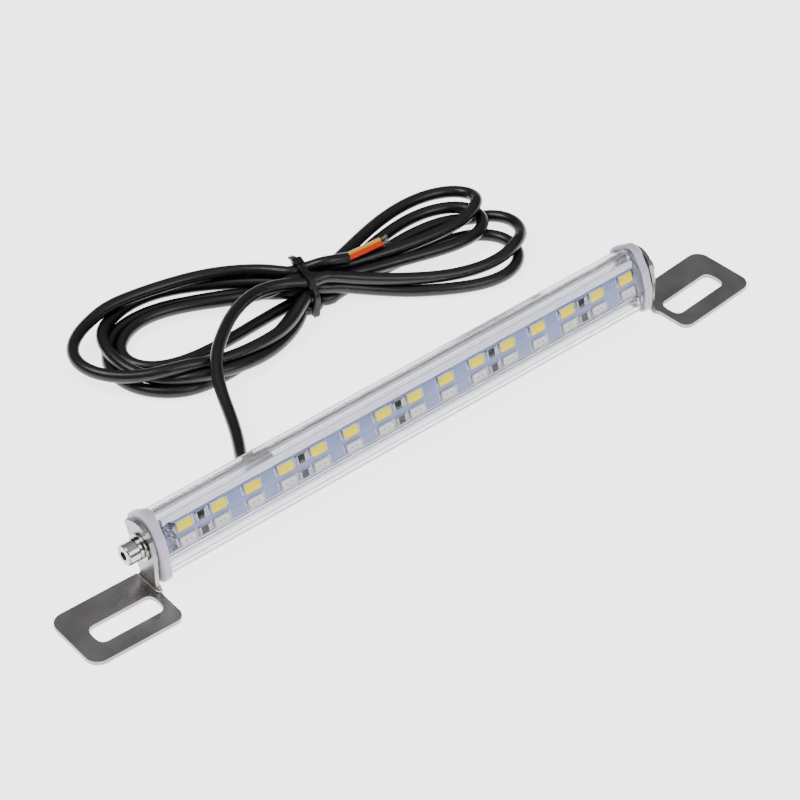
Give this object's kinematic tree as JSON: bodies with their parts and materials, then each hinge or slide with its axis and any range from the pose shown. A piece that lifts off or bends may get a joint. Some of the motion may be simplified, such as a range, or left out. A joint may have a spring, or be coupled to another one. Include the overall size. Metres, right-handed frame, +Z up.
{
  "type": "led light bar",
  "caption": "Slim two-row LED light bar: a clear tube with end caps, swivelling on slotted bracket feet, with a tied hank of cable and stripped ends.",
  "frame": {"origin": "middle of the bar and its brackets, on the surface that the bracket feet stand on", "axes": "+X along the bar, +Y out of the back where the cable leaves, +Z up; the LEDs face -Y and a little upwards"},
  "size_m": [0.2332, 0.1118, 0.0215],
  "materials": {
    "bracket_steel": "satin stainless sheet, with brighter cut edges",
    "screw_steel": "polished stainless fasteners",
    "brass_insert": "turned brass",
    "end_cap": "milky translucent moulded plastic",
    "clear_tube": "clear extruded polycarbonate, glossy",
    "circuit_board": "pale blue solder resist over aluminium",
    "white_led": "yellow phosphor window in a white body",
    "red_led": "clear window in a cream body",
    "resistor": "black chip with tinned ends",
    "grommet_rubber": "matt rubber",
    "cable_jacket": "semi-gloss vinyl jacket",
    "cable_tie": "black nylon",
    "wire_core": "insulated cores with tinned strands"
  },
  "bodies": {
    "light_bar": {"left_end_cap": "end_cap", "left_threaded_insert": "brass_insert", "left_pivot_screw": "screw_steel", "left_flat_washer": "screw_steel", "left_spring_washer": "screw_steel", "right_end_cap": "end_cap", "right_threaded_insert": "brass_insert", "right_pivot_screw": "screw_steel", "right_flat_washer": "screw_steel", "right_spring_washer": "screw_steel", "lens_tube": "clear_tube", "circuit_board": "circuit_board", "white_led_01": "white_led", "white_led_02": "white_led", "white_led_03": "white_led", "white_led_04": "white_led", "white_led_05": "white_led", "white_led_06": "white_led", "white_led_07": "white_led", "white_led_08": "white_led", "white_led_09": "white_led", "white_led_10": "white_led", "white_led_11": "white_led", "white_led_12": "white_led", "white_led_13": "white_led", "white_led_14": "white_led", "white_led_15": "white_led", "red_led_01": "red_led", "red_led_02": "red_led", "red_led_03": "red_led", "red_led_04": "red_led", "red_led_05": "red_led", "red_led_06": "red_led", "red_led_07": "red_led", "red_led_08": "red_led", "red_led_09": "red_led", "red_led_10": "red_led", "red_led_11": "red_led", "red_led_12": "red_led", "red_led_13": "red_led", "red_led_14": "red_led", "red_led_15": "red_led", "resistor_01": "resistor", "resistor_02": "resistor", "resistor_03": "resistor", "resistor_04": "resistor", "resistor_05": "resistor", "resistor_06": "resistor", "resistor_07": "resistor", "resistor_08": "resistor", "resistor_09": "resistor", "resistor_10": "resistor", "cable_grommet": "grommet_rubber", "cable_lead": "cable_jacket", "cable_hank": "cable_jacket", "cable_tie": "cable_tie", "wire_ends": "wire_core"},
    "left_bracket": {"left_bracket": "bracket_steel"},
    "right_bracket": {"right_bracket": "bracket_steel"}
  },
  "joints": [
    {"name": "left_bracket_pivot", "type": "hinge", "parent": "light_bar", "child": "left_bracket", "pos_m": [-0.087, 0.0049, 0.0123], "axis": [1, 0, 0], "continuous": true},
    {"name": "right_bracket_pivot", "type": "hinge", "parent": "light_bar", "child": "right_bracket", "pos_m": [0.087, 0.0049, 0.0123], "axis": [1, 0, 0], "continuous": true}
  ]
}
